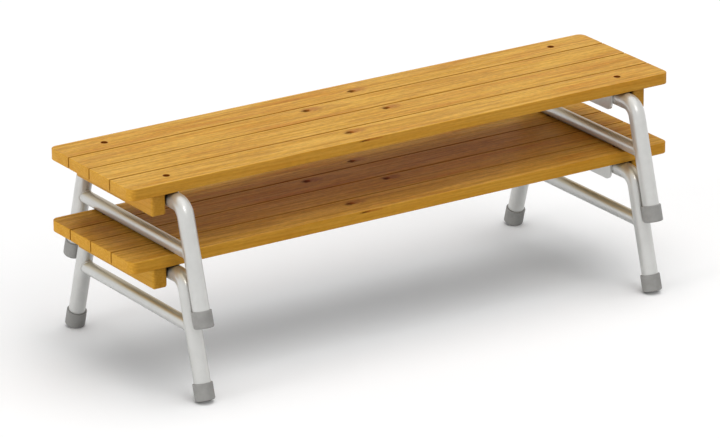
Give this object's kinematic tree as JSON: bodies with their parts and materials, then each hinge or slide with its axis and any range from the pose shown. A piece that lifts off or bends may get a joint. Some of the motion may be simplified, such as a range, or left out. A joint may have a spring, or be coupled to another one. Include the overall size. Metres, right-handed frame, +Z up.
{
  "type": "stacking bench",
  "caption": "Low stacking bench for small children, shown stacked: pine slat seats on splayed bent-tube leg frames with stretchers and rubber feet.",
  "frame": {"origin": "on the floor, at the middle of the stack", "axes": "+X along the seats, +Y from the front to the back, +Z up"},
  "size_m": [1.2, 0.5006, 0.4],
  "materials": {
    "pine": "satin",
    "white_powder_coat": "satin",
    "grey_rubber": "matte",
    "zinc_steel": "satin"
  },
  "bodies": {
    "lower_bench": {"lower_slat_1": "pine", "lower_slat_2": "pine", "lower_slat_3": "pine", "lower_slat_4": "pine", "lower_left_batten": "pine", "lower_right_batten": "pine", "lower_left_leg_frame": "white_powder_coat", "lower_right_leg_frame": "white_powder_coat", "lower_left_stretcher": "white_powder_coat", "lower_right_stretcher": "white_powder_coat", "lower_left_mounting_angle": "white_powder_coat", "lower_right_mounting_angle": "white_powder_coat", "lower_front_left_foot": "grey_rubber", "lower_front_right_foot": "grey_rubber", "lower_back_left_foot": "grey_rubber", "lower_back_right_foot": "grey_rubber", "lower_seat_bolts": "zinc_steel", "lower_bolt_washers": "zinc_steel", "lower_bolt_bushes": "zinc_steel", "lower_batten_screws": "zinc_steel", "lower_angle_screws": "zinc_steel"},
    "upper_bench": {"upper_slat_1": "pine", "upper_slat_2": "pine", "upper_slat_3": "pine", "upper_slat_4": "pine", "upper_left_batten": "pine", "upper_right_batten": "pine", "upper_left_leg_frame": "white_powder_coat", "upper_right_leg_frame": "white_powder_coat", "upper_left_stretcher": "white_powder_coat", "upper_right_stretcher": "white_powder_coat", "upper_left_mounting_angle": "white_powder_coat", "upper_right_mounting_angle": "white_powder_coat", "upper_front_left_foot": "grey_rubber", "upper_front_right_foot": "grey_rubber", "upper_back_left_foot": "grey_rubber", "upper_back_right_foot": "grey_rubber", "upper_seat_bolts": "zinc_steel", "upper_bolt_washers": "zinc_steel", "upper_bolt_bushes": "zinc_steel", "upper_batten_screws": "zinc_steel", "upper_angle_screws": "zinc_steel"}
  },
  "joints": [
    {"name": "upper_bench_lift", "type": "slide", "parent": "lower_bench", "child": "upper_bench", "axis": [0, 0, 1], "range_m": [0, 0.15]}
  ]
}
